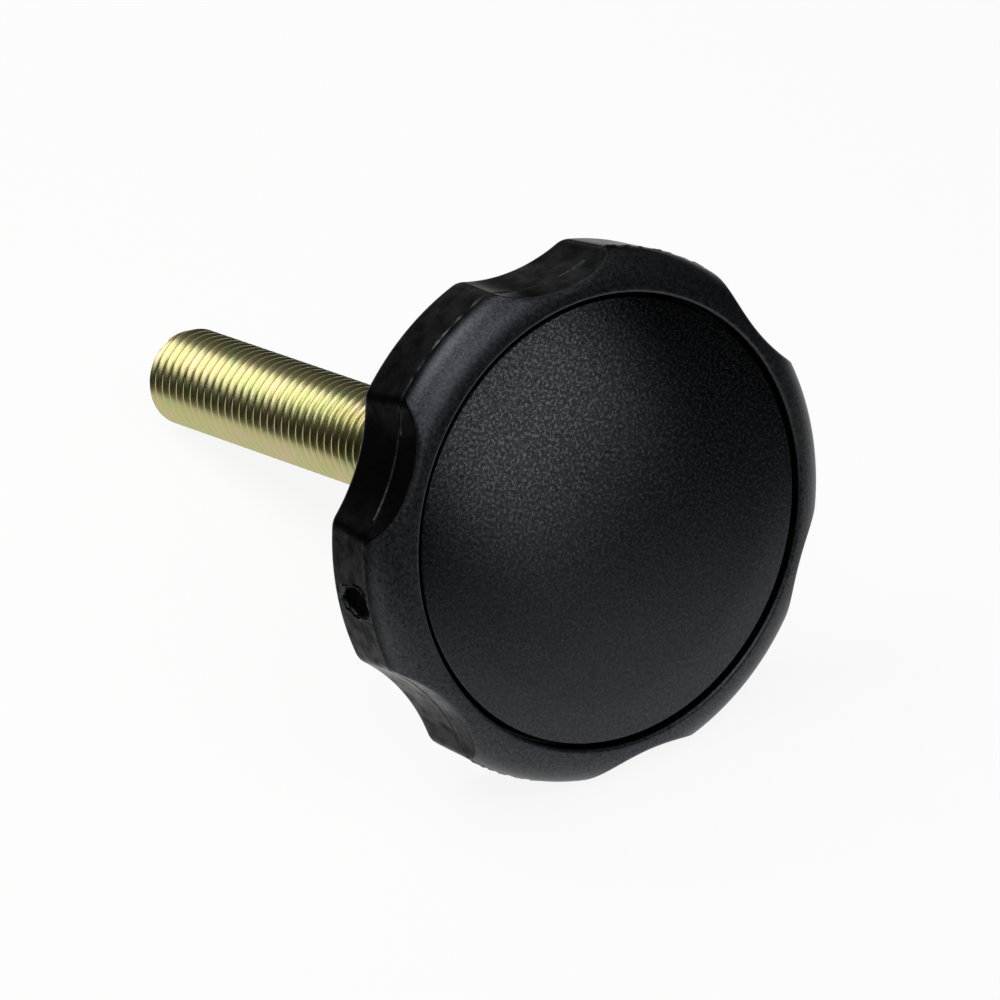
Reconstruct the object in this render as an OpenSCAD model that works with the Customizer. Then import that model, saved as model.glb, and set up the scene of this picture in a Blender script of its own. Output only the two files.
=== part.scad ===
// Flat six-lobe hand knob with a threaded stud and a press-in cover cap, in millimetres.
// The seat under the hub lies at z = 0, the face looks along +Z and the stud points along -Z.

/* [Grip] */
// Diameter across the lobes at the parting line
lobe_d = 63; // [60:0.5:70]
// Number of lobes round the grip
lobe_count = 6; // [5:1:8]
// Radius of each finger scallop
scallop_r = 22; // [16:0.5:28]
// Depth of a scallop below the lobe circle
scallop_depth = 2.6; // [1.5:0.1:3.2]
// Radius that softens the corner between a lobe and a scallop
corner_r = 2.5; // [1:0.25:4]
// Height of the smooth skirt, from the back face to the parting line
skirt_h = 7.6; // [6.5:0.1:10]
// How far the skirt draws in at the back face, so that it leaves the mould
skirt_draft = 0.45; // [0.2:0.05:0.8]
// Rounding of the skirt's back edge
back_edge_r = 1; // [0.5:0.1:1.5]
// Radius of the rounded shoulder above the parting line
shoulder_r = 4.6; // [4:0.1:6]

/* [Gate scar] */
// Width of the flat left where the moulding gate was trimmed
gate_w = 3.4; // [2:0.1:5]
// Height of that flat, down from the parting line
gate_h = 5; // [3:0.1:6]
// Depth of that flat below the skirt
gate_depth = 0.3; // [0.1:0.05:0.5]

/* [Cap] */
// Diameter of the cover cap
cap_d = 53.2; // [50:0.2:54]
// Thickness of the cap's disc
cap_t = 2.2; // [1.6:0.1:2.6]
// How far the cap's face lies below the crest of the shoulder
cap_sink = 0.55; // [0.3:0.05:1]
// Chamfer round the cap's face
cap_edge = 0.3; // [0.2:0.05:0.5]
// Gap between the cap and the wall of its recess
cap_gap = 0.25; // [0.15:0.05:0.4]
// Height of the locating ring under the cap
ring_h = 2.2; // [1.5:0.1:2.6]
// Wall of the locating ring
ring_t = 1.5; // [1:0.1:2]
// Gap between the locating ring and the wall it presses into
ring_gap = 0.1; // [0.05:0.05:0.2]

/* [Hub] */
// Diameter of the boss that stands out of the back face
boss_d = 26; // [23:0.5:30]
// Height of that boss, from its seat to the back face
boss_h = 6; // [4:0.25:9]
// Chamfer round the boss's seat
boss_edge = 0.8; // [0.4:0.1:1.2]
// How far the boss draws in at its seat
boss_draft = 0.3; // [0.1:0.05:0.5]
// Diameter of the hub that holds the bolt's head, under the cap
hub_d = 33; // [28:0.5:36]
// Thickness of the hub under the bolt's head
hub_floor = 5; // [4:0.25:6]
// Wall of the back face under the pockets
back_wall = 2.5; // [2:0.1:3.5]
// Width of the ledge that the cap rests on
ledge_w = 1.85; // [1.2:0.05:2.5]
// Thickness of the ribs between the hub and the grip
rib_t = 2.5; // [1.5:0.1:3.5]

/* [Bolt] */
// Thread diameter of the stud
bolt_d = 12; // [10:0.5:12]
// Pitch of the stud's thread
thread_pitch = 1.5; // [1:0.25:1.75]
// Length of the stud below the seat
stud_len = 70; // [20:5:100]
// Chamfer at the stud's tip, along the stud and across it
tip_chamfer = 1; // [0.6:0.1:1.5]
// Diameter of the plain neck under the head
neck_d = 11; // [9:0.25:11]
// Width of the hexagon head across its flats
head_af = 18; // [16:0.5:19]
// Height of the hexagon head
head_h = 7.5; // [6:0.25:8]
// Gap between the stud and the hub's bore
bore_gap = 0.15; // [0.1:0.05:0.3]
// Gap between the head's flats and the walls of its pocket
pocket_gap = 0.1; // [0.05:0.05:0.2]
// Depth of the head below the hub's top
head_sink = 0.5; // [0.2:0.1:1]

/* [Hidden] */
$fn = 96;
hexagon_sides = 6;
// Slope of the chamfer on a bolt head's corners
head_chamfer_angle = 30;
// Depth of a metric thread and the flat on its crest, as shares of its pitch
thread_depth_share = 0.6134;
thread_crest_share = 0.125;
// Slope of a metric thread's flanks
thread_flank_angle = 30;
// How far a cut runs past the face that it opens
overrun = 1;

lobe_r = lobe_d / 2;
back_z = boss_h;
parting_z = back_z + skirt_h;
crest_z = parting_z + shoulder_r;
shoulder_in_r = lobe_r - shoulder_r;
skirt_edge_z = back_z + back_edge_r;
skirt_edge_r = lobe_r - skirt_draft * (skirt_h - back_edge_r) / skirt_h;
draft_angle = atan(skirt_draft / skirt_h);

cap_r = cap_d / 2;
cap_face_z = crest_z - cap_sink;
ledge_z = cap_face_z - cap_t;
recess_r = cap_r + cap_gap;
pocket_r = recess_r - ledge_w;
pocket_floor_z = back_z + back_wall;
rib_top_z = ledge_z - ring_h - ring_gap;

head_seat_z = hub_floor;
hub_top_z = head_seat_z + head_h + head_sink;
bolt_r = bolt_d / 2;
bore_r = bolt_r + bore_gap;
boss_r = boss_d / 2;

// The thread starts at the tip's chamfer and has as many turns as fit below the seat
thread_start_z = tip_chamfer - stud_len;
thread_root_r = bolt_r - thread_pitch * thread_depth_share;
thread_crest = thread_pitch * thread_crest_share;
thread_flank = (bolt_r - thread_root_r) * tan(thread_flank_angle);
thread_turns = floor((stud_len - tip_chamfer - thread_crest) / thread_pitch);

// A scallop's axis, and the circle that rounds each corner beside it
scallop_axis_r = lobe_r - scallop_depth + scallop_r;
corner_axis_r = lobe_r - corner_r;
corner_span_r = scallop_r + corner_r;
corner_angle = acos((corner_axis_r ^ 2 + scallop_axis_r ^ 2 - corner_span_r ^ 2)
    / (2 * corner_axis_r * scallop_axis_r));
corner_turn = acos((corner_axis_r ^ 2 + corner_span_r ^ 2 - scallop_axis_r ^ 2)
    / (2 * corner_axis_r * corner_span_r));
// Reach of the wedge that trims a corner, as a share of the corner's radius
corner_reach_share = 1.5;
corner_reach = corner_r * corner_reach_share;

// Circumradius of a hexagon from its width across flats
function hexagon_r(across_flats) = across_flats / 2 / cos(180 / hexagon_sides);

// Half section of the grip: drafted skirt, rounded back edge and quarter-round shoulder
module grip_section() {
    polygon([
        [0, back_z],
        [skirt_edge_r - back_edge_r, back_z],
        [skirt_edge_r - back_edge_r, skirt_edge_z],
        [skirt_edge_r, skirt_edge_z],
        [lobe_r, parting_z],
        [shoulder_in_r, parting_z],
        [shoulder_in_r, crest_z],
        [0, crest_z]
    ]);
    intersection() {
        translate([skirt_edge_r - back_edge_r, skirt_edge_z]) circle(back_edge_r);
        translate([skirt_edge_r - back_edge_r, back_z]) square(back_edge_r);
    }
    intersection() {
        translate([shoulder_in_r, parting_z]) circle(shoulder_r);
        translate([shoulder_in_r, parting_z]) square(shoulder_r);
    }
}

// What is cut beyond the rounded corner on one side of a scallop
module corner_trim() {
    rotate(corner_angle) translate([corner_axis_r, 0]) difference() {
        polygon([
            [0, 0],
            [corner_reach, 0],
            [corner_reach * cos(180 - corner_turn), -corner_reach * sin(180 - corner_turn)]
        ]);
        circle(corner_r);
    }
}

// Outline of one finger scallop, with both corners rounded, its middle on +X
module scallop_outline() {
    translate([scallop_axis_r, 0]) circle(scallop_r);
    corner_trim();
    mirror([0, 1]) corner_trim();
}

// All finger scallops, cut straight through the grip
module finger_scallops() {
    for (i = [0 : lobe_count - 1])
        rotate(i * 360 / lobe_count)
            translate([0, 0, back_z - overrun])
                linear_extrude(crest_z - back_z + 2 * overrun) scallop_outline();
}

// Flat left by the trimmed gate, in the middle of the first lobe
module gate_scar() {
    rotate(180 / lobe_count)
        translate([lobe_r - gate_depth, 0, parting_z])
            rotate([0, draft_angle, 0])
                translate([0, -gate_w / 2, -gate_h])
                    cube([gate_depth + overrun, gate_w, gate_h]);
}

// Ring of pockets under the cap, left open between the ribs
module pockets() {
    difference() {
        translate([0, 0, pocket_floor_z]) cylinder(h = ledge_z - pocket_floor_z + overrun, r = pocket_r);
        translate([0, 0, pocket_floor_z - overrun])
            cylinder(h = hub_top_z - pocket_floor_z + overrun, d = hub_d);
        for (i = [0 : lobe_count - 1])
            rotate(i * 360 / lobe_count)
                translate([0, -rib_t / 2, pocket_floor_z - overrun])
                    cube([pocket_r + overrun, rib_t, rib_top_z - pocket_floor_z + overrun]);
    }
}

// Recess for the cap, the hexagon pocket for the bolt's head and the bore for the stud
module recesses() {
    translate([0, 0, ledge_z]) cylinder(h = crest_z - ledge_z + overrun, r = recess_r);
    translate([0, 0, head_seat_z])
        cylinder(h = ledge_z - head_seat_z + overrun, r = hexagon_r(head_af + 2 * pocket_gap), $fn = hexagon_sides);
    translate([0, 0, -overrun]) cylinder(h = head_seat_z + 2 * overrun, r = bore_r);
}

// Boss on the back face, with the seat at its end
module boss() {
    translate([0, 0, boss_edge])
        cylinder(h = back_z + back_wall - boss_edge, r1 = boss_r - boss_draft, r2 = boss_r);
    cylinder(h = boss_edge, r1 = boss_r - boss_draft - boss_edge, r2 = boss_r - boss_draft);
}

module knob_body() {
    color("#1c1d1f") difference() {
        union() {
            difference() {
                rotate_extrude() grip_section();
                finger_scallops();
                gate_scar();
                pockets();
            }
            boss();
        }
        recesses();
    }
}

// One turn of the thread, from the flat of its crest to the next crest
function thread_turn(z) = [
    [bolt_r, z + thread_crest],
    [thread_root_r, z + thread_crest + thread_flank],
    [thread_root_r, z + thread_pitch - thread_flank],
    [bolt_r, z + thread_pitch]
];

// Half section of the stud: chamfered tip, then a ring for each turn of the thread, with no climb
module stud_section() {
    polygon(concat(
        [[0, 0], [0, -stud_len], [bolt_r - tip_chamfer, -stud_len], [bolt_r, thread_start_z]],
        [for (i = [0 : thread_turns - 1]) each thread_turn(thread_start_z + i * thread_pitch)],
        [[bolt_r, 0]]
    ));
}

// Hexagon bolt, threaded from the seat to the tip, its head under the cap
module stud() {
    head_r = hexagon_r(head_af);
    crown_h = (head_r - head_af / 2) * tan(head_chamfer_angle);
    color("#c9b458") union() {
        translate([0, 0, head_seat_z]) intersection() {
            cylinder(h = head_h, r = head_r, $fn = hexagon_sides);
            union() {
                cylinder(h = head_h - crown_h, r = head_r + overrun);
                translate([0, 0, head_h - crown_h]) cylinder(h = crown_h, r1 = head_r, r2 = head_af / 2);
            }
        }
        cylinder(h = head_seat_z, d = neck_d);
        rotate_extrude() stud_section();
    }
}

// Cap disc with a chamfered face and a locating ring that presses into the pocket wall
module cover_cap() {
    ring_r = pocket_r - ring_gap;
    color("#232427") union() {
        translate([0, 0, ledge_z]) cylinder(h = cap_t - cap_edge, r = cap_r);
        translate([0, 0, cap_face_z - cap_edge]) cylinder(h = cap_edge, r1 = cap_r, r2 = cap_r - cap_edge);
        translate([0, 0, ledge_z - ring_h]) difference() {
            cylinder(h = ring_h, r = ring_r);
            translate([0, 0, -overrun]) cylinder(h = ring_h + overrun, r = ring_r - ring_t);
        }
    }
}

knob_body();
stud();
cover_cap();
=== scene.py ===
# %% [markdown]
# A flat hand knob, as used on jigs and machine covers: a black moulded grip with six lobes, a cover cap
# pressed into its face, and a yellow-passivated steel bolt whose shank is the stud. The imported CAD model
# is the fixed frame. Each of its three pieces gets a finer skin here, made from the same sizes, and the
# knob lies on a white table in the way a real one does when it is put down.

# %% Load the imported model
import math

import bmesh
import bpy
import numpy as np
from mathutils import Matrix, Vector, noise


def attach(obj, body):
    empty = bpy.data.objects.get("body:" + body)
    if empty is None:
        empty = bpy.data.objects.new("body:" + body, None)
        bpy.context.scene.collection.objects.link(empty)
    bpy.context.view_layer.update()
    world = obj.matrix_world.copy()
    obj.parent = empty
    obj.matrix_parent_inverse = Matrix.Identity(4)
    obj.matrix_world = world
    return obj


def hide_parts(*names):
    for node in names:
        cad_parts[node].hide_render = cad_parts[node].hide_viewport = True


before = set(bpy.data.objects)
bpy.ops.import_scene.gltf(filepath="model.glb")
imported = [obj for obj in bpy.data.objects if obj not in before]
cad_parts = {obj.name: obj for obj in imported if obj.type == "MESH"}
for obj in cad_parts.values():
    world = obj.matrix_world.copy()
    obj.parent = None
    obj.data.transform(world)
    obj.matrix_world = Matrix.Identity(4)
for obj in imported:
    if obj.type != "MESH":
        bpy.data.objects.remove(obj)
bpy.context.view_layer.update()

MM = 0.001

# %% [markdown]
# All three skins are rings of points round the knob's axis, joined by quads, because every piece of this
# knob is turned, moulded or rolled about that axis. Modifiers on a cylinder could give a round body, but
# rings let each point carry the moulding's own detail. Rings that meet in the same place are welded, so
# each piece ends up as one closed mesh. A thread needs one thing more: its rings climb, so the last
# column joins the first one a full thread further on.

# %% Join rings of points into one closed piece
SHARP_EDGE = math.radians(38)
WELD_GAP_MM = 0.002


def ring_of(radius, height, angle):
    """One ring of points in millimetres; radius and height may change from angle to angle."""
    level = height * np.ones_like(angle)
    return np.stack([radius * np.cos(angle), radius * np.sin(angle), level], axis=-1)


def join_rings(name, *grids):
    """Welds grids of rings into one closed mesh; a grid is its rings and how far its last column climbs."""
    points, quads, first = [], [], 0
    for rings, climb in grids:
        rows, columns = rings.shape[:2]
        here = first + np.arange(rows * columns).reshape(rows, columns)
        beside = np.roll(here, -1, axis=1)
        beside[:, -1] = here[np.minimum(np.arange(rows) + climb, rows - 1), 0]
        quads.append(np.stack([here[:-1], beside[:-1], beside[1:], here[1:]], axis=-1).reshape(-1, 4))
        points.append(rings.reshape(-1, 3))
        first += rows * columns
    mesh = bpy.data.meshes.new(name)
    mesh.from_pydata(np.concatenate(points) * MM, [], np.concatenate(quads).tolist())
    body = bmesh.new()
    body.from_mesh(mesh)
    bmesh.ops.remove_doubles(body, verts=body.verts, dist=WELD_GAP_MM * MM)
    bmesh.ops.recalc_face_normals(body, faces=body.faces)
    open_edges = sum(not edge.is_manifold for edge in body.edges)
    body.to_mesh(mesh)
    body.free()
    mesh.shade_smooth()
    mesh.set_sharp_from_angle(angle=SHARP_EDGE)
    piece = bpy.data.objects.new(name, mesh)
    bpy.context.scene.collection.objects.link(piece)
    print(name, len(mesh.polygons), "faces,", open_edges, "open edges")
    return piece


# %% [markdown]
# The grip's outline is a circle across the lobes with six round finger scallops cut into it, and a small
# radius softens each corner. Three arcs that touch each other say all of it, so the outline is worked out
# from the arcs at every angle. The angles are closer together where the trimmed gate left its scar.

# %% Outline of the grip
LOBES = 6
lobe_r, corner_r = 31.5, 2.5
scallop_r, scallop_depth = 22.0, 2.6
scallop_axis_r = lobe_r - scallop_depth + scallop_r
lobe_pitch = 2 * math.pi / LOBES
gate_at = lobe_pitch / 2

even_angles = np.radians(np.arange(0, 360, 360 / 660))
gate_angles = gate_at + np.radians(np.linspace(-5, 5, 61))
turn = np.unique(np.concatenate([even_angles, gate_angles]).round(6))


def lobed_outline(lobe_radius):
    """Radius of the outline at every angle of turn, for lobes that reach one radius."""
    offset = np.abs((turn + lobe_pitch / 2) % lobe_pitch - lobe_pitch / 2)
    corner_axis = lobe_radius - corner_r
    reach = scallop_r + corner_r
    corner_at = math.acos((corner_axis**2 + scallop_axis_r**2 - reach**2) / (2 * corner_axis * scallop_axis_r))
    touch_x = scallop_axis_r + (corner_axis * math.cos(corner_at) - scallop_axis_r) * scallop_r / reach
    touch_y = corner_axis * math.sin(corner_at) * scallop_r / reach
    touch_at = math.atan2(touch_y, touch_x)
    across = scallop_axis_r * np.sin(offset)
    scallop = scallop_axis_r * np.cos(offset) - np.sqrt(np.maximum(scallop_r**2 - across**2, 0))
    across = corner_axis * np.sin(offset - corner_at)
    corner = corner_axis * np.cos(offset - corner_at) + np.sqrt(np.maximum(corner_r**2 - across**2, 0))
    return np.select([offset < touch_at, offset < corner_at], [scallop, corner], lobe_radius)


parting_outline = lobed_outline(lobe_r)
print(len(turn), "angles, outline from", parting_outline.min().round(2), "to", parting_outline.max().round(2), "mm")

# %% [markdown]
# Two mould halves meet where the skirt turns into the shoulder. Nylon creeps into that joint and leaves a
# ragged fin a tenth of a millimetre high on the lobes; in the scallops the joint shows as a fine groove.
# A bump map could draw both, but they change the outline and catch the light, so they are real shape.

# %% Fin and seam on the parting line
fin_h, fin_w, seam_depth = 0.13, 0.2, 0.3
fin_on_lobe, fin_start, fin_spread, fin_least = 0.6, 0.1, 1.2, 0.05
creep_size = 0.6


def ragged(along, across, size):
    """Unevenness from -1 to 1 at each point, with features of one size in millimetres."""
    spots = np.broadcast_arrays(along, across)
    values = [noise.noise(Vector((a / size, b / size, 0.5))) for a, b in zip(spots[0].flat, spots[1].flat)]
    return np.array(values).reshape(spots[0].shape)


on_lobe = (parting_outline - parting_outline.min()) / (parting_outline.max() - parting_outline.min())
creep = ragged(parting_outline * np.cos(turn), parting_outline * np.sin(turn), creep_size)
fin_share = np.clip(fin_on_lobe * on_lobe - fin_start + fin_spread * creep, fin_least, 1)
fin = fin_h * fin_share - seam_depth * (1 - on_lobe)
print("fin from", fin.min().round(3), "to", fin.max().round(3), "mm")

# %% [markdown]
# The gate, where the nylon came in, was broken off on one lobe. It left an oval hollow with a torn rim
# that stands a little proud. The hollow is let into the skirt's own radius, so the skin stays one closed
# piece; cutting it with a Boolean would leave long thin faces round the rim.

# %% Torn gate
boss_h, skirt_h, skirt_draft, back_edge_r, shoulder_r = 6.0, 7.6, 0.45, 1.0, 4.6
parting_z = boss_h + skirt_h
gate_w, gate_h, gate_depth = 3.8, 5.6, 0.7
tear, tear_size = 0.35, 1.3
lip_h, lip_w, lip_grain = 0.15, 0.4, 0.4
floor_rise, floor_grain, pattern_gap = 0.2, 0.8, 20


def torn_gate(radius, height):
    """The skirt's radius at one height, with the sunken gate and its torn rim let in."""
    along = lobe_r * (turn - gate_at)
    drop = parting_z - height
    oval = np.hypot(np.abs(along) / gate_w, (drop - gate_h / 2) / gate_h) * 2 - 1
    edge = oval * gate_w / 2 + tear * ragged(along, drop, tear_size)
    hollow = np.clip(-edge / lip_w, 0, 1) * (1 + floor_rise * ragged(along, drop + pattern_gap, floor_grain))
    lip = lip_h * np.clip(1 - np.abs(edge - lip_w / 2) / (lip_w / 2), 0, 1)
    lip = lip * (1 + ragged(along, drop + 2 * pattern_gap, lip_grain))
    near = np.abs(along) < gate_w
    return np.where(near, radius + lip - gate_depth * hollow, radius)


gate_middle = torn_gate(lobe_r, parting_z - gate_h / 2)
print("gate from", (gate_middle.min() - lobe_r).round(2), "to", (gate_middle.max() - lobe_r).round(2), "mm")

# %% [markdown]
# The grip is one moulding: a hub with a boss, a skirt with draft, a rounded shoulder, a recess for the cap
# and, under the cap, pockets between ribs so that the walls stay even. Its rings start at the bore, go out
# over the seat and the back, and up the skirt to the parting line. Stacked cylinders could give the same
# steps, but not the draft, the rounds and the gate in one closed skin.

# %% Rings of the grip, from the seat to the parting line
boss_d, boss_edge, boss_draft, boss_root_r = 26.0, 0.8, 0.3, 0.6
bolt_r, bore_gap = 6.0, 0.15
bore_r = bolt_r + bore_gap
seat_r = boss_d / 2 - boss_draft - boss_edge
boss_root = boss_d / 2 - boss_draft / 3
back_z = boss_h
grip_rings = []


def grip_ring(radius, height):
    """Adds the grip's next ring."""
    grip_rings.append(ring_of(radius, height, turn))


grip_ring(bore_r, 0)
grip_ring(seat_r, 0)
grip_ring(seat_r + boss_edge, boss_edge)
for swing in np.radians(np.linspace(0, 90, 6)):
    grip_ring(boss_root + boss_root_r * (1 - math.cos(swing)), back_z - boss_root_r * (1 - math.sin(swing)))

back_outline = lobed_outline(lobe_r - skirt_draft * (skirt_h - back_edge_r) / skirt_h)
for part_way in (0.3, 0.65):
    grip_ring(boss_root + part_way * (back_outline - back_edge_r - boss_root), back_z)
for swing in np.radians(np.linspace(-90, 0, 8)):
    grip_ring(back_outline - back_edge_r * (1 - math.cos(swing)), back_z + back_edge_r * (1 + math.sin(swing)))
for level in np.linspace(back_z + back_edge_r, parting_z - fin_w, 31)[1:]:
    skirt = lobed_outline(lobe_r - skirt_draft * (parting_z - level) / skirt_h)
    grip_ring(torn_gate(skirt, level), level)
grip_ring(parting_outline + fin, parting_z - fin_w / 4)
grip_ring(parting_outline + 0.8 * fin, parting_z + fin_w / 4)
print(len(grip_rings), "rings up to the parting line")

# %% [markdown]
# Over the parting line the scallops run up to the shoulder, which is a quarter round. The edge between a
# scallop's wall and the shoulder is a small round that touches both, so it is worked out for each angle
# from the two radii; a Bevel modifier would need the edge to be there first. The upper mould half never
# lines up exactly with the lower one, so the wall steps in by a few hundredths of a millimetre.

# %% Rings of the grip, from the parting line to the cap's recess
mould_mismatch = 0.03
wall_edge_r, rim_edge_r = 0.9, 0.4
cap_r, cap_gap, cap_t, cap_sink = 26.6, 0.25, 2.2, 0.55
recess_r, ledge_w = cap_r + cap_gap, 1.85
shoulder_in_r = lobe_r - shoulder_r
crest_z = parting_z + shoulder_r
cap_face_z = crest_z - cap_sink
ledge_z = cap_face_z - cap_t

wall = parting_outline - mould_mismatch
wall_in = wall - wall_edge_r - shoulder_in_r
wall_top = parting_z + np.sqrt((shoulder_r - wall_edge_r) ** 2 - wall_in**2)
wall_swing = np.arctan2(wall_top - parting_z, wall_in)
for part_way in (0, 0.15, 0.5):
    grip_ring(wall, parting_z + fin_w + part_way * (wall_top - parting_z - fin_w))
for part_way in np.linspace(0, 1, 9):
    swing = part_way * wall_swing
    grip_ring(wall - wall_edge_r * (1 - np.cos(swing)), wall_top + wall_edge_r * np.sin(swing))

rim_out = recess_r + rim_edge_r - shoulder_in_r
rim_z = parting_z + math.sqrt((shoulder_r - rim_edge_r) ** 2 - rim_out**2)
rim_swing = math.atan2(rim_z - parting_z, rim_out)
for part_way in np.linspace(0, 1, 19)[1:]:
    swing = wall_swing + part_way * (rim_swing - wall_swing)
    grip_ring(shoulder_in_r + shoulder_r * np.cos(swing), parting_z + shoulder_r * np.sin(swing))
for swing in np.linspace(rim_swing, math.pi, 9)[1:]:
    grip_ring(recess_r + rim_edge_r * (1 + math.cos(swing)), rim_z + rim_edge_r * math.sin(swing))
print(len(grip_rings), "rings up to the recess, whose rim is", round(rim_z, 2), "mm above the seat")

# %% [markdown]
# Inside, the recess has a ledge that the cap rests on. Below it lie the pockets, the ribs that stiffen
# them, and the hub with a hexagon pocket for the bolt's head. None of it shows while the cap is in, so a
# few rings are enough, and a rib is simply a place where the pocket's floor is higher.

# %% Rings of the grip, from the recess to the bore
hub_r, hub_floor, rib_t, back_wall = 16.5, 5.0, 2.5, 2.5
ring_h, ring_t, ring_gap = 2.2, 1.5, 0.1
head_af, head_h, head_sink, pocket_gap = 18.0, 7.5, 0.5, 0.1
pocket_r = recess_r - ledge_w
rib_top_z = ledge_z - ring_h - ring_gap
hub_top_z = hub_floor + head_h + head_sink
HEXAGON = math.pi / 3


def hexagon(across_flats, angle):
    """Radius of a hexagon with its corners on the X axis, at each angle."""
    return across_flats / 2 / np.cos(angle % HEXAGON - HEXAGON / 2)


grip_ring(recess_r, ledge_z)
grip_ring(pocket_r, ledge_z)
rib_offset = (turn + lobe_pitch / 2) % lobe_pitch - lobe_pitch / 2
for radius in np.linspace(pocket_r, hub_r, 9):
    on_rib = np.abs(radius * np.sin(rib_offset)) < rib_t / 2
    grip_ring(radius, np.where(on_rib, rib_top_z, back_z + back_wall))
grip_ring(hub_r, hub_top_z)
head_pocket = hexagon(head_af + 2 * pocket_gap, turn)
grip_ring(head_pocket, hub_top_z)
grip_ring(head_pocket, hub_floor)
grip_ring(bore_r, hub_floor)
grip_ring(bore_r, 0)
grip = join_rings("moulded_grip", (np.array(grip_rings), 0))

# %% [markdown]
# The stud is a steel bolt with a rolled metric thread, twelve millimetres across with a pitch of one and a
# half. A Screw modifier could wind a profile, but its ends stay open. Here each ring climbs by one pitch
# per turn, and points that would pass an end are held on it, so both ends close by themselves. The hexagon
# head sits in the hub under the cap and keeps the stud from turning.

# %% Thread of the stud
stud_len, tip_chamfer, neck_r, neck_z = 70.0, 1.0, 5.5, 1.0
thread_pitch, thread_depth = 1.5, 0.92
FLANK = math.radians(30)
STUD_COLUMNS = 96
stud_turn = np.linspace(0, 2 * math.pi, STUD_COLUMNS, endpoint=False)

crest_half = thread_pitch / 16
half_profile = np.array([0.07, 0.13, 0.3, 0.47, 0.6, 0.66])
profile = np.concatenate([-half_profile[::-1], [0], half_profile, [thread_pitch / 2]])
profile_r = np.clip(bolt_r - (np.abs(profile) - crest_half) / math.tan(FLANK), bolt_r - thread_depth, bolt_r)

turns_before, spare_turns = 1.5, 3
turns = math.ceil((stud_len + neck_z) / thread_pitch) + spare_turns
thread_rings = []
for number in range(turns):
    for along, radius in zip(profile, profile_r):
        climb = (number - turns_before + stud_turn / (2 * math.pi)) * thread_pitch + along
        level = np.clip(climb - stud_len, -stud_len, neck_z)
        held = np.where(level >= 0, neck_r, np.minimum(radius, bolt_r - tip_chamfer + level + stud_len))
        thread_rings.append(ring_of(held, level, stud_turn))
print(turns, "turns of thread, root radius", profile_r.min().round(2), "mm")

# %% Head and tip of the stud
head_top = hub_floor + head_h
head_side = hexagon(head_af, stud_turn)
head_rings = [
    ring_of(neck_r, neck_z, stud_turn),
    ring_of(neck_r, hub_floor, stud_turn),
    ring_of(head_side, hub_floor, stud_turn),
    ring_of(head_side, head_top - (head_side - head_af / 2) * math.tan(FLANK), stud_turn),
    ring_of(head_af / 2, head_top, stud_turn),
    ring_of(0, head_top, stud_turn),
]
tip_inner_r = 2.5
tip_rings = [ring_of(radius, -stud_len, stud_turn) for radius in (bolt_r - tip_chamfer, tip_inner_r, 0)]
stud = join_rings("threaded_stud", (np.array(thread_rings), len(profile)), (np.array(head_rings), 0),
                  (np.array(tip_rings), 0))

# %% [markdown]
# The cover cap is a thin moulded disc with a locating ring underneath. Its face is flat, and its edge is
# hardly rounded, so it draws a crisp line beside the soft rim of the grip. Its side has draft, so the
# joint opens a little towards the face. A bevelled cylinder would do for the disc, but the rings take the
# locating ring along in the same closed skin.

# %% Disc and locating ring of the cap
cap_edge, cap_draft = 0.25, 0.3
cap_turn = np.linspace(0, 2 * math.pi, 256, endpoint=False)
ring_r = pocket_r - ring_gap
face_r = cap_r - cap_draft
cap_rings = [ring_of(radius, cap_face_z, cap_turn) for radius in np.linspace(0, face_r - cap_edge, 6)]
for swing in np.radians(np.linspace(90, 0, 7)[1:]):
    edge_r = face_r - cap_edge * (1 - math.cos(swing))
    cap_rings.append(ring_of(edge_r, cap_face_z - cap_edge * (1 - math.sin(swing)), cap_turn))
for radius, level in [
    (cap_r, ledge_z),
    (ring_r, ledge_z),
    (ring_r, ledge_z - ring_h),
    (ring_r - ring_t, ledge_z - ring_h),
    (ring_r - ring_t, ledge_z),
    (0, ledge_z),
]:
    cap_rings.append(ring_of(radius, level, cap_turn))
cap = join_rings("cover_cap_skin", (np.array(cap_rings), 0))

# %% [markdown]
# Materials are built from nodes. Colours are written as the hex values that a picture shows, and one
# function turns them into the linear values that light is reckoned in. One more function adds a node with
# its settings and links.

# %% Colour and node helpers
def linear(hex_colour):
    """Linear RGBA of an sRGB hex colour."""
    shares = [int(hex_colour[place:place + 2], 16) / 255 for place in (1, 3, 5)]
    return (*[s / 12.92 if s <= 0.04045 else ((s + 0.055) / 1.055) ** 2.4 for s in shares], 1)


def add_node(owner, kind, inputs=None, **settings):
    """Adds a node; each input is a plain value, or another node's output to link from."""
    node = owner.node_tree.nodes.new(kind)
    for name, value in settings.items():
        setattr(node, name, value)
    for name, value in (inputs or {}).items():
        if isinstance(value, bpy.types.NodeSocket):
            owner.node_tree.links.new(value, node.inputs[name])
        else:
            node.inputs[name].default_value = value
    return node


def new_material(name):
    """An empty node material and its output node."""
    material = bpy.data.materials.new(name)
    material.use_nodes = True
    material.node_tree.nodes.clear()
    return material, add_node(material, "ShaderNodeOutputMaterial")


print("middle grey is", round(linear("#808080")[0], 3), "in linear light")
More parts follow.
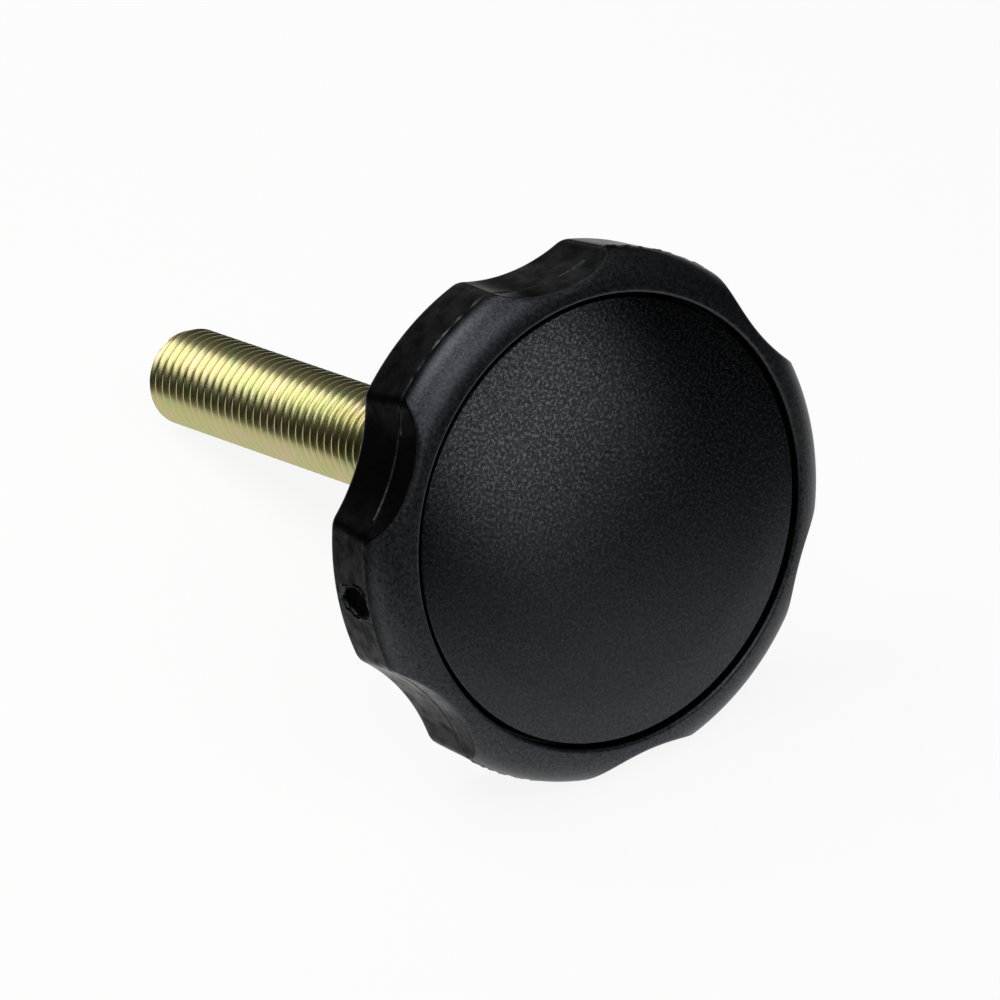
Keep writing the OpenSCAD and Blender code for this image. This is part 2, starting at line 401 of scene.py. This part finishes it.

# %% [markdown]
# Grip and cap are glass-filled polyamide, a nylon that is black right through, moulded in a steel tool. The
# tool's upper half was spark eroded, so faces that look up have a fine matt grain. Its craters are drawn
# dark and its plateaus paler, and that contrast is painted shade and light on the grain. Walls that slide
# out of the tool were left smooth, and use has scuffed them dull in patches. The grain follows the way a
# face looks, so one material gives both. Polyamide's index of refraction is about 1.53. The faces stay
# round that value, with craters below it and plateaus above. The grip's walls are matched to a much lower
# one, which is painted shade: it darkens what they mirror of the evenly glowing board beside the knob.
# The reflections are tinted slightly cool, which is matched too. The real grain is near a tenth of
# a millimetre; it is drawn about four times coarser, because the picture has under nine pixels to a
# millimetre.

# %% Glass-filled polyamide
scuff_mm = 2.0
cool_sheen = "#e7f2ff"
wall_slope, face_slope = 0.05, 0.45
crater_level, plateau_level = 0.36, 0.68
scuff_low, scuff_high = 0.35, 0.65


def glass_filled_polyamide(name, colours, grain_mm, grain_depth_mm, roughness, refraction):
    """Black moulded nylon. Colours are for crater and plateau, and their contrast is painted shade and light
    on the grain. Roughness is for wall, crater and plateau, and refraction for a wall at its dullest and its
    cleanest, then crater and plateau; the grip's low wall values are painted shade."""
    material, output = new_material(name)
    place = add_node(material, "ShaderNodeTexCoord")
    facing = add_node(material, "ShaderNodeNewGeometry")
    upward = add_node(material, "ShaderNodeSeparateXYZ", {"Vector": facing.outputs["Normal"]})
    grained = add_node(material, "ShaderNodeMapRange", {
        "Value": upward.outputs["Z"], "From Min": wall_slope, "From Max": face_slope},
        interpolation_type="SMOOTHSTEP")
    grain = add_node(material, "ShaderNodeTexNoise", {
        "Vector": place.outputs["Object"], "Scale": 1 / (grain_mm * MM), "Detail": 3, "Roughness": 0.8})
    bump = add_node(material, "ShaderNodeBump", {
        "Strength": grained.outputs["Result"], "Distance": grain_depth_mm * MM, "Height": grain.outputs["Fac"]})
    crater = add_node(material, "ShaderNodeMapRange", {
        "Value": grain.outputs["Fac"], "From Min": crater_level, "From Max": plateau_level})
    # The crater-to-plateau colour contrast is painted shade and light on the grain.
    painted_grain_shading = add_node(material, "ShaderNodeMath", {
        0: crater.outputs["Result"], 1: grained.outputs["Result"]}, operation="MULTIPLY")
    tint = add_node(material, "ShaderNodeMix", {
        "Factor": painted_grain_shading.outputs[0], "A": linear(colours[0]), "B": linear(colours[1])}, data_type="RGBA")
    matt = add_node(material, "ShaderNodeMapRange", {
        "Value": crater.outputs["Result"], "To Min": roughness[1], "To Max": roughness[2]})
    polish = add_node(material, "ShaderNodeMix", {
        "Factor": grained.outputs["Result"], "A": roughness[0], "B": matt.outputs["Result"]})
    scuff = add_node(material, "ShaderNodeTexNoise", {
        "Vector": place.outputs["Object"], "Scale": 1 / (scuff_mm * MM), "Detail": 4, "Roughness": 0.65})
    # The walls' low index is painted shade; the noise gives their scuffed patches.
    scuffed_and_shaded_wall = add_node(material, "ShaderNodeMapRange", {
        "Value": scuff.outputs["Fac"], "From Min": scuff_low, "From Max": scuff_high,
        "To Min": refraction[0], "To Max": refraction[1]})
    sheen = add_node(material, "ShaderNodeMapRange", {
        "Value": crater.outputs["Result"], "To Min": refraction[2], "To Max": refraction[3]})
    gleam = add_node(material, "ShaderNodeMapRange", {
        "Value": grained.outputs["Result"], "To Min": scuffed_and_shaded_wall.outputs["Result"], "To Max": sheen.outputs["Result"]})
    shader = add_node(material, "ShaderNodeBsdfPrincipled", {
        "Base Color": tint.outputs["Result"], "Roughness": polish.outputs["Result"],
        "IOR": gleam.outputs["Result"], "Specular Tint": linear(cool_sheen), "Normal": bump.outputs["Normal"]})
    material.node_tree.links.new(shader.outputs["BSDF"], output.inputs["Surface"])
    print(name, len(material.node_tree.nodes), "nodes, grain of", grain_mm, "mm")
    return material


# The grip's wall index, 1.06 to 1.15, is set low as painted shade on its walls.
grip_polyamide = glass_filled_polyamide(
    "glass_filled_polyamide", colours=("#060607", "#202123"), grain_mm=0.4, grain_depth_mm=0.04,
    roughness=(0.25, 0.34, 0.44), refraction=(1.06, 1.15, 1.38, 1.66))
cap_polyamide = glass_filled_polyamide(
    "spark_eroded_polyamide", colours=("#070708", "#2a2c2e"), grain_mm=0.4, grain_depth_mm=0.015,
    roughness=(0.2, 0.22, 0.27), refraction=(1.5, 1.5, 1.43, 1.63))

# %% [markdown]
# The stud is rolled steel with a yellow zinc chromate finish. Chromate is a thin film, so its olive yellow
# drifts towards green and pink over a few millimetres, and the rolling dies leave fine lines along the
# thread. Those lines are a few hundredths of a millimetre apart; they are drawn coarser, at the finest
# that shows. It is a metal, so its colour is the colour of its reflections.

# %% Yellow zinc chromate steel
film_mm, mark_mm, mark_depth_mm = 3.0, 0.12, 0.01
along_thread = (0.2, 0.2, 1)
yellow_chromate, chromate_output = new_material("yellow_zinc_chromate_steel")
on_stud = add_node(yellow_chromate, "ShaderNodeTexCoord")
film = add_node(yellow_chromate, "ShaderNodeTexNoise", {
    "Vector": on_stud.outputs["Object"], "Scale": 1 / (film_mm * MM), "Detail": 2})
drift = add_node(yellow_chromate, "ShaderNodeValToRGB", {"Fac": film.outputs["Fac"]})
drift.color_ramp.elements[0].position = 0.35
drift.color_ramp.elements[0].color = linear("#b2b57f")
drift.color_ramp.elements[1].position = 0.68
drift.color_ramp.elements[1].color = linear("#c0b28b")
drift.color_ramp.elements.new(0.5).color = linear("#bab47f")
stretch = add_node(yellow_chromate, "ShaderNodeMapping", {
    "Vector": on_stud.outputs["Object"], "Scale": along_thread})
marks = add_node(yellow_chromate, "ShaderNodeTexNoise", {
    "Vector": stretch.outputs["Vector"], "Scale": 1 / (mark_mm * MM), "Detail": 1})
rolled = add_node(yellow_chromate, "ShaderNodeBump", {
    "Strength": 0.25, "Distance": mark_depth_mm * MM, "Height": marks.outputs["Fac"]})
chromate = add_node(yellow_chromate, "ShaderNodeBsdfPrincipled", {
    "Base Color": drift.outputs["Color"], "Metallic": 1, "Roughness": 0.24, "Normal": rolled.outputs["Normal"]})
yellow_chromate.node_tree.links.new(chromate.outputs["BSDF"], chromate_output.inputs["Surface"])
print(yellow_chromate.name, len(drift.color_ramp.elements), "film colours")

# %% [markdown]
# In the gate's hollow the nylon tore apart, and a torn face is very rough. It is drawn near black, with
# little reflection, which is painted shade in the hollow. A bump on the smooth nylon would still gleam, so
# these faces get a material of their own.

# %% Broken polyamide, drawn dark as painted shade
shaded_broken_polyamide, broken_output = new_material("shaded_broken_polyamide")
# A near-black colour and a low index: painted shade on the gate hollow's floor.
torn_and_shaded = add_node(shaded_broken_polyamide, "ShaderNodeBsdfPrincipled", {
    "Base Color": linear("#050505"), "Roughness": 0.9, "IOR": 1.1})
shaded_broken_polyamide.node_tree.links.new(torn_and_shaded.outputs["BSDF"], broken_output.inputs["Surface"])
print(shaded_broken_polyamide.name, "has roughness", round(torn_and_shaded.inputs["Roughness"].default_value, 2))

# %% [markdown]
# Each skin now gets its finish, rides on the knob's one rigid body and stands for the CAD piece under it,
# which is hidden. Nothing here moves, so that body is an empty that the skins are parented to.

# %% Dress the pieces and set them on the frame
for piece, node, slot, material in [
    (grip, "knob_body", "moulded_grip", grip_polyamide),
    (stud, "stud", "plated_steel", yellow_chromate),
    (cap, "cover_cap", "moulded_cap", cap_polyamide),
]:
    piece.data.materials.append(material)
    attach(piece, "root")
    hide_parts(node)
    print(piece.name, "stands for", node)

# %% Give the gate's hollow its broken face
hollow_least, hollow_most = 0.2, 1.2
grip.data.materials.append(shaded_broken_polyamide)
broken_faces = 0
for face in grip.data.polygons:
    middle = face.center / MM
    sunk = lobe_r - math.hypot(middle.x, middle.y) - skirt_draft * (parting_z - middle.z) / skirt_h
    from_gate = lobe_r * (math.atan2(middle.y, middle.x) - gate_at)
    on_skirt = back_z + back_edge_r < middle.z < parting_z
    if abs(from_gate) < gate_w and on_skirt and hollow_least < sunk < hollow_most:
        face.material_index = 1
        broken_faces += 1
print(broken_faces, "broken faces in the gate")

# %% [markdown]
# Put down on a table, the knob rests on two neighbouring lobes and on the edge of the stud's tip. Those
# three points give the table's plane, tilted in the knob's own frame. The camera stands level over that
# table, far away behind a long lens, so the round cap shows hardly any perspective.

# %% Table plane
rest_at = math.radians(120)
rest_r = (parting_outline * np.cos(turn - rest_at)).max()
tilt = math.atan2(rest_r - bolt_r, parting_z + stud_len - tip_chamfer)
rest_way = Vector((math.cos(rest_at), math.sin(rest_at), 0))
table_up = (Vector((0, 0, math.sin(tilt))) - rest_way * math.cos(tilt)).normalized()
tip_touch = (rest_way * bolt_r + Vector((0, 0, tip_chamfer - stud_len))) * MM
print("the knob's axis rises", round(math.degrees(tilt), 1), "deg from the table")

# %% Camera
view_azimuth, view_elevation = math.radians(84.29), math.radians(52.47)
to_camera = Vector((math.sin(view_azimuth) * math.cos(view_elevation),
                    -math.cos(view_azimuth) * math.cos(view_elevation), math.sin(view_elevation)))
view_right = table_up.cross(to_camera).normalized()
view_up = to_camera.cross(view_right)
cap_centre = Vector((0, 0, cap_face_z))
cap_right, cap_down, camera_away = 12.54, 2.44, 1379.4

camera_data = bpy.data.cameras.new("level_camera")
camera_data.sensor_width, camera_data.lens = 36, 432
camera = bpy.data.objects.new("level_camera", camera_data)
spot = (cap_centre - view_right * cap_right + view_up * cap_down + to_camera * camera_away) * MM
camera.matrix_world = Matrix.Translation(spot) @ Matrix((view_right, view_up, to_camera)).transposed().to_4x4()
bpy.context.scene.collection.objects.link(camera)
bpy.context.scene.camera = camera
print("camera looks down", round(math.degrees(math.asin(to_camera.dot(table_up))), 1), "deg on the table")

# %% [markdown]
# The table is a plain white board, near 300 mm wide and 420 mm deep. A larger floor would fill the cap with
# its reflection; on this one the cap mirrors the board's edge, and so grows darker towards its upper right.

# %% White table
sheet_half, sheet_half_deep, below = 148 * MM, 210 * MM, 0.03 * MM
sheet_right, sheet_near = 24, 17
table_mesh = bpy.data.meshes.new("white_table")
table_away = table_up.cross(view_right)
sheet_middle = tip_touch + (view_right * sheet_right - table_away * sheet_near) * MM - table_up * below
corners = [sheet_middle + view_right * x * sheet_half + table_away * y * sheet_half_deep
           for x, y in ((-1, -1), (1, -1), (1, 1), (-1, 1))]
table_mesh.from_pydata(corners, [], [(0, 1, 2, 3)])
table = bpy.data.objects.new("white_table", table_mesh)
bpy.context.scene.collection.objects.link(table)
print("table of", round(2 * sheet_half / MM), "by", round(2 * sheet_half_deep / MM), "mm")

# %% [markdown]
# The board is white paper. To the camera, and in shiny surfaces, most of its brightness is its own, so it
# reads as white without more light on the knob; the rest is lit, so it keeps a soft shadow. Seen from
# underneath it is clear, so that the knob can be looked at from every side.

# %% White paper
own_share = 0.9
white_paper, paper_output = new_material("white_paper")
paper = add_node(white_paper, "ShaderNodeBsdfDiffuse", {"Color": linear("#f4f4f2")})
glow = add_node(white_paper, "ShaderNodeEmission", {"Color": linear("#ffffff"), "Strength": 1})
path = add_node(white_paper, "ShaderNodeLightPath")
side = add_node(white_paper, "ShaderNodeNewGeometry")
seen = add_node(white_paper, "ShaderNodeMath", {
    0: path.outputs["Is Camera Ray"], 1: path.outputs["Is Glossy Ray"]}, operation="MAXIMUM")
seen = add_node(white_paper, "ShaderNodeMath", {
    0: seen.outputs[0], 1: path.outputs["Is Transmission Ray"]}, operation="MAXIMUM")
own = add_node(white_paper, "ShaderNodeMath", {0: seen.outputs[0], 1: own_share}, operation="MULTIPLY")
top = add_node(white_paper, "ShaderNodeMixShader", {
    0: own.outputs[0], 1: paper.outputs["BSDF"], 2: glow.outputs["Emission"]})
clear = add_node(white_paper, "ShaderNodeBsdfTransparent")
sheet = add_node(white_paper, "ShaderNodeMixShader", {
    0: side.outputs["Backfacing"], 1: top.outputs["Shader"], 2: clear.outputs["BSDF"]})
white_paper.node_tree.links.new(sheet.outputs["Shader"], paper_output.inputs["Surface"])
table_mesh.materials.append(white_paper)
print(white_paper.name, "shows", own_share, "of its white by itself")

# %% [markdown]
# The light is a plain studio of four soft boxes. A large one overhead gives the stud its bright flank and
# the shoulder its sheen. One high on the left and a pale panel low behind it round off the left side. A
# small strip box rakes the cap's upper left and brings out its grain. One sun lamp would be simpler, but
# black plastic shows its form by what it mirrors, so it needs boxes of some size.

# %% Lamps
def studio_lamp(name, kind, azimuth, elevation, distance_mm, aim_mm, watts, **settings):
    """A lamp aimed at a point on the knob; azimuth 0 is the camera's side and 90 is its right."""
    across, up = math.radians(azimuth), math.radians(elevation)
    way = ((view_right * math.sin(across) - table_away * math.cos(across)) * math.cos(up)
           + table_up * math.sin(up))
    lamp_data = bpy.data.lights.new(name, kind)
    lamp_data.energy = watts
    for setting, value in settings.items():
        setattr(lamp_data, setting, value)
    lamp = bpy.data.objects.new(name, lamp_data)
    lamp.location = (aim_mm + way * distance_mm) * MM
    lamp.rotation_mode = "QUATERNION"
    lamp.rotation_quaternion = way.to_track_quat("Z", "Y")
    bpy.context.scene.collection.objects.link(lamp)
    print(name, watts, "W from", azimuth, "deg, up", elevation, "deg")
    return lamp


upper_left = Vector((15.5, -10, cap_face_z))
ceiling_box = studio_lamp("ceiling_box", "AREA", 20, 60, 500, cap_centre, 1.25, size=400 * MM)
studio_lamp("left_box", "AREA", -105, 60, 400, cap_centre, 0.9, size=250 * MM)
studio_lamp("white_panel", "AREA", -150, 26, 400, cap_centre, 0.3, size=450 * MM)
strip_box = studio_lamp("strip_box", "AREA", -30, 60, 250, upper_left, 0.0065, shape="RECTANGLE", size=24 * MM,
                        size_y=6 * MM, spread=math.radians(4))

# %% [markdown]
# In a studio, black cards keep a lamp off one part of a thing. Here light linking is the card: the strip
# box lights the cap alone, and the ceiling box leaves the cap out, so that its dark side stays dark.
# Cards could be modelled, but the knob would mirror them.

# %% Cards
raked = bpy.data.collections.new("raked_by_strip_box")
raked.objects.link(cap)
strip_box.light_linking.receiver_collection = raked
shaded = bpy.data.collections.new("shaded_from_ceiling_box")
shaded.objects.link(cap)
shaded.collection_objects[0].light_linking.link_state = "EXCLUDE"
ceiling_box.light_linking.receiver_collection = shaded
print(raked.name, "and", shaded.name, "hold", cap.name)

# %% [markdown]
# The room round the table is dim and grows paler towards its ceiling. A plain grey world would do for the
# light, but it would lift every dark reflection on the knob alike.

# %% Room
dim, paler, wall_top_share, ceiling_share = 0.01, 0.1, 0.25, 0.8
room = bpy.data.worlds.new("studio_room")
room.use_nodes = True
room.node_tree.nodes.clear()
outward = add_node(room, "ShaderNodeTexCoord")
upright = add_node(room, "ShaderNodeVectorMath", {
    0: outward.outputs["Generated"], 1: table_up}, operation="DOT_PRODUCT")
pale = add_node(room, "ShaderNodeMapRange", {
    "Value": upright.outputs["Value"], "From Min": wall_top_share, "From Max": ceiling_share,
    "To Min": dim, "To Max": paler}, interpolation_type="SMOOTHSTEP")
sky = add_node(room, "ShaderNodeBackground", {"Color": linear("#ffffff"), "Strength": pale.outputs["Result"]})
add_node(room, "ShaderNodeOutputWorld", {"Surface": sky.outputs["Background"]})
bpy.context.scene.world = room
print(room.name, "from", dim, "to", paler)

# %% [markdown]
# The picture is shown as plain sRGB, so that a colour comes out as it is written.

# %% Settle the picture
bpy.context.scene.view_settings.view_transform = "Standard"
